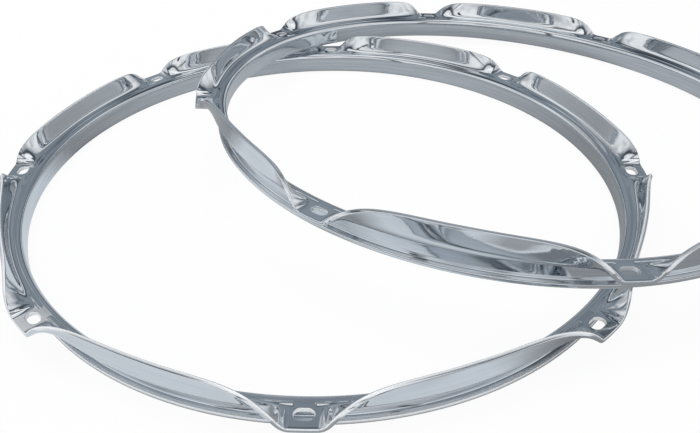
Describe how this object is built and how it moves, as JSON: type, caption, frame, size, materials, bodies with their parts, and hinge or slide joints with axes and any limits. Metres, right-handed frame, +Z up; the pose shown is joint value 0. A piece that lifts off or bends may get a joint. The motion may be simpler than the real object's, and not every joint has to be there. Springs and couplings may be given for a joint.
{
  "type": "drum hoop pair",
  "caption": "Pair of chrome flanged drum hoops with slotted ears for tension rods; one lies flat on its rim and the other leans across it.",
  "frame": {"origin": "on the table, under the middle of the pair's bounding box", "axes": "+Z up, square to the table and along the flat hoop's axis; +X along the pair's length, from the flat hoop towards the leaning one; +Y away from the viewer of the picture"},
  "size_m": [0.5106, 0.4538, 0.0642],
  "materials": {
    "flat_hoop_chrome": "bright nickel-chrome plate on steel, with faint rolling lines",
    "leaning_hoop_chrome": "bright nickel-chrome plate on steel, with faint rolling lines"
  },
  "bodies": {
    "flat": {"flat_hoop": "flat_hoop_chrome"},
    "leaning": {"leaning_hoop": "leaning_hoop_chrome"}
  },
  "joints": [
    {"name": "lift_off", "type": "slide", "parent": "flat", "child": "leaning", "axis": [0, 0, 1], "range_m": [0, 0.3]}
  ]
}
